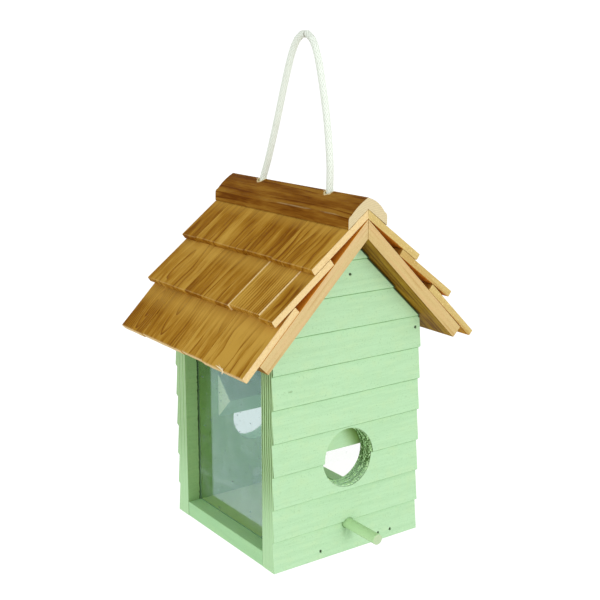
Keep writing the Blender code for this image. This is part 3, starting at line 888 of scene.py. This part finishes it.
# ---- shingles
EDGE_ROUND = 0.45 * MM
END_ROUND = 1.1 * MM
GRAIN_RELIEF = 0.12 * MM
END_RAGGED = 0.4 * MM
WORN_STRIP = 0.5 * MM
WORN_RAW = 1.22
RAW_LOWER_END = 0.38
RAW_TOP_EDGE = 0.56
SHELTER_REACH = 9.0 * MM
SWELL_RELIEF = 0.32 * MM
CUP_DEPTH = 0.12 * MM
HOLE_CLEARANCE = 0.3 * MM
HIDDEN_SPACING = 4.0 * MM
SHOWN_SPACING = 1.1 * MM
ACROSS_SPACING = 0.9 * MM
THICK_SPACING = 1.6 * MM
ROUNDING_STEPS = (0.3, 0.65, 1.0)

# How much lighter each side is: upper end, lower end, front, back, under, top.
SIDE_TONES = np.array((-0.30, -0.08, 0.0, 0.0, 0.25, 0.0))


def slat_frame(node):
    """Directions and extent of a slat, and where its top and underside start.

    The directions run down the slope, along the ridge and out of the roof.
    """
    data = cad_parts[node].data
    widest = max(data.polygons, key=lambda face: face.area)
    out = widest.normal * math.copysign(1.0, widest.normal.z)
    ridge = Vector((0.0, 1.0, 0.0))
    down = ridge.cross(out).normalized()
    down *= math.copysign(1.0, -down.z)
    spots = np.array([tuple(v.co) for v in data.vertices])
    basis = np.array([tuple(down), tuple(ridge), tuple(out)])
    local = spots @ basis.T
    low = local.min(0)
    high = local.max(0)
    middle = (low[2] + high[2]) / 2
    upper = local[local[:, 2] > middle][:, 0].min()
    lower = local[local[:, 2] < middle][:, 0].min()
    return basis, low, high, upper, lower


def spread(length, head, tail, fine, hidden=0.0):
    """Lattice stations, close together at both ends for the rounded edges."""
    stations = [0.0, *(head * share for share in ROUNDING_STEPS)]
    at = head
    while at < length - tail - fine * 1.3:
        at += HIDDEN_SPACING if at < hidden - HIDDEN_SPACING else fine
        stations.append(at)
    stations.extend(length - tail * share for share in reversed(ROUNDING_STEPS))
    return [*stations, length]


def box_lattice(us, vs, ws):
    """Points, quads and side of each quad over the surface of a box.

    Sides are 0 upper end, 1 lower end, 2 front, 3 back, 4 under, 5 top.
    """
    sizes = (len(us), len(vs), len(ws))
    index = {}
    quads = []
    sides = []
    for axis, end in product(range(3), (0, 1)):
        first = (axis + 1) % 3
        second = (axis + 2) % 3
        for i, j in product(range(sizes[first] - 1), range(sizes[second] - 1)):
            loop = []
            for a, b in ((i, j), (i + 1, j), (i + 1, j + 1), (i, j + 1)):
                key = [0, 0, 0]
                key[axis] = end * (sizes[axis] - 1)
                key[first] = a
                key[second] = b
                loop.append(index.setdefault(tuple(key), len(index)))
            quads.append(tuple(loop if end else loop[::-1]))
            sides.append(axis * 2 + end)
    points = np.array([(us[i], vs[j], ws[k]) for i, j, k in index])
    return points, quads, np.array(sides)


def ease(points, size, pair, radius, low_end=True):
    """Rounds the edges between two of a box's directions."""
    first, second = pair
    flat = points[:, [first, second]]
    limit = np.array([size[first], size[second]])
    low = np.array([radius if low_end else -1.0, radius])
    inner = np.clip(flat, low, limit - radius)
    offset = flat - inner
    length = np.linalg.norm(offset, axis=1)
    scale = np.where(length > 0, radius / np.maximum(length, 1e-12), 0.0)
    # 1 for a point on the surface of its corner, less inside.
    reach = np.abs(offset).max(axis=1) / radius
    in_corner = (np.abs(offset) > 1e-9).all(axis=1)[:, None]
    moved = inner + offset * scale[:, None] * reach[:, None]
    eased = points.copy()
    eased[:, [first, second]] = np.where(in_corner, moved, flat)
    return eased


def sampled_noise(values):
    return np.array([noise.noise(Vector(v)) for v in values])


def slat_shape(points, size, seed):
    """Wears a plain slat: raised grain, a slight cup and a ragged end."""
    length, width, thick = size
    u, v, w = points.T
    grain = np.stack([u * 20.0 + seed, v * 330.0, np.full_like(u, seed)], 1)
    swell = np.stack([u * 16.0, v * 55.0 + seed, np.full_like(u, seed * 2)], 1)
    relief = 0.5 - 0.5 * sampled_noise(grain)
    waves = 0.5 - 0.5 * sampled_noise(swell)
    top = np.clip(w / thick, 0.0, 1.0)
    drop = GRAIN_RELIEF * relief + SWELL_RELIEF * waves
    cup = CUP_DEPTH * (1.0 - (2.0 * v / width - 1.0) ** 2)
    shown = np.clip((u / length - 0.18) / 0.10, 0.0, 1.0)
    w = w - (drop + cup) * top * shown
    end = np.stack([v * 70.0 + seed, np.full_like(v, 3.1), w * 90.0], 1)
    torn = 0.5 + 0.5 * sampled_noise(end)
    u = u - END_RAGGED * torn * np.clip(u / length, 0.0, 1.0) ** 8
    return np.stack([u, v, w], 1)


def bore_start(y, w, basis):
    """How far down the slope a slat starts to leave room for the rope."""
    away = abs(abs(y) - ROPE_HOLE_Y)
    clear = ROPE_HOLE_RADIUS + HOLE_CLEARANCE
    if away >= clear:
        return -1.0
    wanted = math.sqrt(clear * clear - away * away)
    return (wanted - w * abs(basis[2][0])) / abs(basis[0][0])


def sheltered(points, node):
    """1 just below the course above, 0 further down the slope."""
    side, _, course, _ = node.split("_")
    above = f"{side}_shingle_{int(course) - 1}_"
    covers = [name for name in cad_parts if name.startswith(above)]
    corners = [corner for name in covers or ["ridge_cap"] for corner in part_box(name)]
    edge = max(abs(corner.x) for corner in corners)
    run = np.abs(points[:, 0]) - edge
    return np.clip(1.0 - run / SHELTER_REACH, 0.0, 1.0)


def shingle(node, material, tone, worn, figure):
    """Detailed slat in place of its CAD solid."""
    basis, low, high, upper, lower = slat_frame(node)
    first_course = "_shingle_1_" in node
    size = high - low
    hidden = (0.22 if first_course else 0.45) * size[0]
    us = spread(size[0], EDGE_ROUND, END_ROUND, SHOWN_SPACING, hidden)
    vs = spread(size[1], EDGE_ROUND, EDGE_ROUND, ACROSS_SPACING)
    ws = spread(size[2], END_ROUND, END_ROUND, THICK_SPACING)
    plain, quads, sides = box_lattice(us, vs, ws)
    seed = (sum(map(ord, node)) % 97) * 0.37
    eased = ease(plain, size, (0, 2), END_ROUND, low_end=False)
    eased = ease(eased, size, (1, 2), EDGE_ROUND)
    eased = ease(eased, size, (0, 1), EDGE_ROUND)
    shaped = slat_shape(eased, size, seed)
    local = shaped + low
    for spot in local if first_course else ():
        share = (spot[2] - low[2]) / size[2]
        start = lower + (upper - lower) * share
        start = max(start, bore_start(spot[1], spot[2], basis))
        run = (spot[0] - low[0]) / size[0]
        spot[0] = start + run * (high[0] - start)
    points = local @ basis
    item = mesh_piece(node + "_slat", points, quads, material)
    grain = shaped + np.array([seed * 0.31, seed * 0.173, seed * 0.07])
    store(item, "grain", grain)
    heart, height, slope, pitch = figure
    across = plain[:, 1] - heart * size[1]
    rise = height + slope * plain[:, 0]
    store(item, "figure", pitch * np.stack([across, rise, 0.0 * rise], 1))
    store(item, "shelter", sheltered(points, node))
    clarity = np.full(len(points), 3.0 * (pitch - 0.9))
    store(item, "clarity", np.clip(clarity, 0.0, 1.0))
    middle = np.array([plain[list(quad)].mean(0) for quad in quads])
    strip = EDGE_ROUND + (WORN_STRIP if worn[0] > 1.0 else 0.0)
    raw = np.where(middle[:, 1] < strip, worn[0], 0.0)
    raw = np.where(middle[:, 1] > size[1] - EDGE_ROUND, worn[1], raw)
    raw = np.where(sides == 1, 1.0 if "_shingle_3_" in node else RAW_LOWER_END, raw)
    rim = (sides == 5) & (middle[:, 0] > size[0] - END_ROUND) & (raw < 0.5)
    raw = np.where(rim, RAW_TOP_EDGE, raw)
    store(item, "raw", raw, "FACE")
    store(item, "tone", tone + SIDE_TONES[sides], "FACE")
    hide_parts(node)
    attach(item, "roof")


# What chance picks a slat's heart line, ring height, slope and pitch from.
FIGURE_SPANS = ((-0.6, 1.6), (0.012, 0.030), (-0.05, 0.05))
RING_PITCHES = (0.5, 0.7, 1.0, 1.25)

# Slats whose front edge is worn to bare wood along its whole length.
WORN_FRONT_EDGES = ("left_shingle_2_2", "left_shingle_2_3")

# Left slats by course and number: how much lighter than chance makes it, then
# heart line across it, ring height over that line, the height's slope along
# the slat, and how close the rings are. A lone tone keeps chance's rings.
OWN_LOOKS = {
    "1_1": (0.09, -0.90, 0.0200, 0.05, 0.55),
    "1_2": (-0.06, -0.40, 0.0200, 0.04, 0.75),
    "1_3": (-0.03, 1.50, 0.0160, -0.04, 0.50),
    "1_4": (-0.20,),
    "2_1": (0.0, -1.60, 0.0100, 0.02, 0.60),
    "2_2": (0.10, -1.40, 0.0100, 0.02, 1.25),
    "2_3": (-0.06, 0.40, 0.0090, -0.20, 0.55),
    "2_4": (0.05, 0.55, 0.0120, -0.26, 0.60),
    "3_1": (0.20, 1.60, 0.0120, 0.03, 0.50),
    "3_2": (0.08, -0.50, 0.0200, 0.06, 0.70),
    "3_3": (-0.08, 0.60, -0.0060, 0.22, 1.00),
    "3_4": (-0.09, 0.35, -0.0100, 0.24, 1.40),
}


def make_shingles():
    material = shingle_material()
    chance = random.Random(11)
    for node in sorted(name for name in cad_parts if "_shingle_" in name):
        lighter, *own = OWN_LOOKS.get(node.removeprefix("left_shingle_"), (0.0,))
        tone = chance.uniform(-0.09, 0.09) + lighter
        figure = [chance.uniform(*span) for span in FIGURE_SPANS]
        figure.append(chance.choice(RING_PITCHES))
        front = 1.0 if node.endswith("1") else 0.0
        front = WORN_RAW if node in WORN_FRONT_EDGES else front
        back = 1.0 if node.endswith("4") else 0.0
        shingle(node, material, tone, (front, back), own or figure)


# ---- torn plywood
def wall_face_y(height):
    """Distance from the house centre to the boards, above the lowest one."""
    return WALL_OUTER_Y - LIP_DEPTH * ((height - COURSE_FIRST) / COURSE_PITCH % 1.0)


LINING_COLUMNS = 260
LINING_ROWS = 30
LAYER_START = 0.0598
LAYER_THICKNESS = 0.0033
TEAR_HEIGHT = 0.0017
TEAR_LEAST = 0.0001


def hole_lining(name, facing, material):
    """Torn layers of plywood on the inside of a round entrance."""
    around = LINING_COLUMNS
    rows = LINING_ROWS
    points = []
    tears = []
    for column in range(around):
        angle = 2.0 * math.pi * column / around
        x_way = math.cos(angle)
        z_way = math.sin(angle)
        outer = wall_face_y(HOLE_Z + HOLE_RADIUS * z_way) - 0.5 * MM
        inner = WALL_INNER_Y + 0.4 * MM
        for row in range(rows + 1):
            share = row / rows
            depth = inner + (outer - inner) * share
            layer = math.floor((depth - LAYER_START) / LAYER_THICKNESS)
            spot = Vector((x_way * 11.0, z_way * 11.0, layer * 5.0 + facing))
            fray = 0.5 + 0.5 * noise.noise(spot)
            fine = Vector((x_way * 27.0, z_way * 27.0, depth * 800.0))
            fray = 0.30 * fray + 0.70 * (0.5 + 0.5 * noise.noise(fine))
            if layer % 2:
                fray *= 0.75
            lift = TEAR_LEAST + TEAR_HEIGHT * fray ** 1.6
            lift *= min(1.0, 0.35 + min(share, 1.0 - share) * 9.0)
            radius = HOLE_RADIUS - lift
            points.append((radius * x_way, facing * depth, HOLE_Z + radius * z_way))
            tears.append(fray)
    faces = []
    for column in range(around):
        here = column * (rows + 1)
        ahead = ((column + 1) % around) * (rows + 1)
        for row in range(rows):
            loop = (here + row, here + row + 1, ahead + row + 1, ahead + row)
            faces.append(loop[:: -facing])
    item = mesh_piece(name, points, faces, material, smooth=False)
    store(item, "tear", tears)
    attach(item, "house")


def splinters(name, root, directions, material):
    """A tuft of thin tapering slivers that stand out of a torn edge."""
    points = []
    faces = []
    for number, (lean, length, width) in enumerate(directions):
        way = Vector(lean).normalized()
        side = way.orthogonal().normalized()
        rise = way.cross(side)
        base = Vector(root) + side * (number - len(directions) / 2) * width * 0.8
        start = len(points)
        for x, y in ((1, 0), (0, 0.5), (-1, 0), (0, -0.5)):
            points.append(base + (side * x * width / 2 + rise * y * width / 2))
        points.append(base + way * length * 0.6 + side * width * 0.2)
        points.append(base + way * length)
        for a in range(4):
            faces.append((start + a, start + (a + 1) % 4, start + 4))
        for a in (4, 3, 2, 1):
            faces.append((start + a % 4, start + a - 1, start + 5))
    item = mesh_piece(name, points, faces, material, smooth=False)
    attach(item, "roof")


def make_splinters():
    """Torn slivers on the lower left edge and round the rope holes."""
    material = splinter_material()
    low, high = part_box("left_shingle_3_1")
    root = (low.x + 0.0012, TUFT_Y, low.z + 0.0042)
    tuft = (
        ((-0.35, -0.75, 0.80), 0.0082, 0.0019),
        ((-0.45, 0.15, 0.90), 0.0070, 0.0016),
        ((-0.45, 0.80, 0.45), 0.0072, 0.0018),
        ((-0.70, -0.50, -0.20), 0.0048, 0.0015),
    )
    splinters("eaves_splinters", root, tuft, material)
    fringe = (
        ((-0.9, -0.5, 0.6), 0.0026, 0.0007),
        ((-0.8, 0.3, 0.9), 0.0021, 0.0006),
        ((-1.0, 0.9, 0.3), 0.0029, 0.0007),
    )
    for name, side in (("front", -1), ("back", 1)):
        root = (-0.0036, side * ROPE_HOLE_Y, CAP_APEX_Z - 0.0002)
        splinters(name + "_hole_splinters", root, fringe, material)


# ---- CAD nodes
CLEAR = (1.0, 1.0, 1.0)


def dress(material, *nodes):
    """Gives CAD nodes that keep their shape a detailed material."""
    for node in nodes:
        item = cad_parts[node]
        if not item.material_slots:
            item.data.materials.append(material)
        for slot in item.material_slots:
            slot.material = material


def dress_nodes():
    front_marks = ((-0.058, 0.150), (-0.034, 0.1645))
    front = wall_material("front_clapboard", front_marks, 0.95, 0.15)
    back = wall_material("back_clapboard", ((0.041, 0.118),), 0.30, 0.10)
    dress(front, "front_wall")
    dress(back, "back_wall")
    dress(painted_board("painted_floor", 0.9), "floor_board")
    batten = painted_board("painted_batten", 0.0)
    dress(batten, "left_top_rail", "right_top_rail", "hanger_bar")
    dress(seed_block_material(), "front_seed_block", "back_seed_block")
    dress(perch_material(), "front_perch", "back_perch")
    grey = (0.535, 0.645, 0.635)
    tinted = window_material("tinted_sheet", grey, 1.0, 1.70, (0.35, 0.90, 1.0))
    dress(tinted, "left_window")
    dress(window_material("clean_sheet", CLEAR, 0.1, 1.49, CLEAR), "right_window")
    dress(roof_board_material(), "left_roof_board", "right_roof_board")
    dress(cap_material(), "ridge_cap")
    nails = [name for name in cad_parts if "_nail" in name]
    dress(nail_material(), *nails)


# ---- studio
LAMP_TARGET = (0.0, 0.0, 0.18)


def floor_material():
    """Pale studio floor, fully lit to the eye and dimmer as a light."""
    graph = Graph("studio_floor")
    speck = graph.place.noise(2.0, 2.0)
    colour = graph.mix(speck, (0.84, 0.84, 0.84), (0.88, 0.88, 0.88))
    graph.set(Base_Color=colour, Roughness=0.9, Specular_IOR_Level=0.0)
    lit = graph.seen
    glow = graph.node("Emission")
    feed(glow.inputs["Strength"], SEEN_LIGHT)
    graph.seen = glow.outputs[0]
    graph.show("Is Diffuse Ray", lit)
    return graph.material


def make_floor():
    corners = ((-1, -1), (1, -1), (1, 1), (-1, 1))
    points = [(x * FLOOR_REACH, y * FLOOR_REACH, FLOOR_Z) for x, y in corners]
    floor = mesh_piece("studio_floor", points, [(0, 1, 2, 3)], floor_material())


def make_world():
    """White room: the eye sees it white, surfaces are lit a little less."""
    world = bpy.data.worlds.new("white_studio")
    world.use_nodes = True
    tree = world.node_tree
    light = tree.nodes["Background"]
    feed(light.inputs["Color"], opaque(CLEAR))
    paths = tree.nodes.new("ShaderNodeLightPath")
    level = tree.nodes.new("ShaderNodeMapRange")
    feed(level.inputs["To Min"], SEEN_LIGHT)
    feed(level.inputs["To Max"], ROOM_LIGHT)
    feed(level.inputs["Value"], paths.outputs["Is Diffuse Ray"])
    feed(light.inputs["Strength"], level.outputs[0])
    bpy.context.scene.world = world


def area_lamp(name, spot, size, power):
    data = bpy.data.lights.new(name, "AREA")
    data.size = size
    data.energy = power
    lamp = link(bpy.data.objects.new(name, data))
    lamp.location = spot
    aim(lamp, LAMP_TARGET)


def make_studio():
    make_floor()
    make_world()
    area_lamp("front_softbox", (0.1, -2.4, 0.45), 1.8, 27.0)
    area_lamp("left_softbox", (-2.4, -0.2, 0.7), 1.4, 12.0)
    bpy.context.scene.view_settings.view_transform = "Standard"


make_camera()
make_rope()
make_studio()
dress_nodes()
make_shingles()
hole_lining("front_hole_lining", -1, torn_ply_material("torn_front_ply", 0.88))
hole_lining("back_hole_lining", 1, torn_ply_material("torn_back_ply", 0.25))
make_splinters()
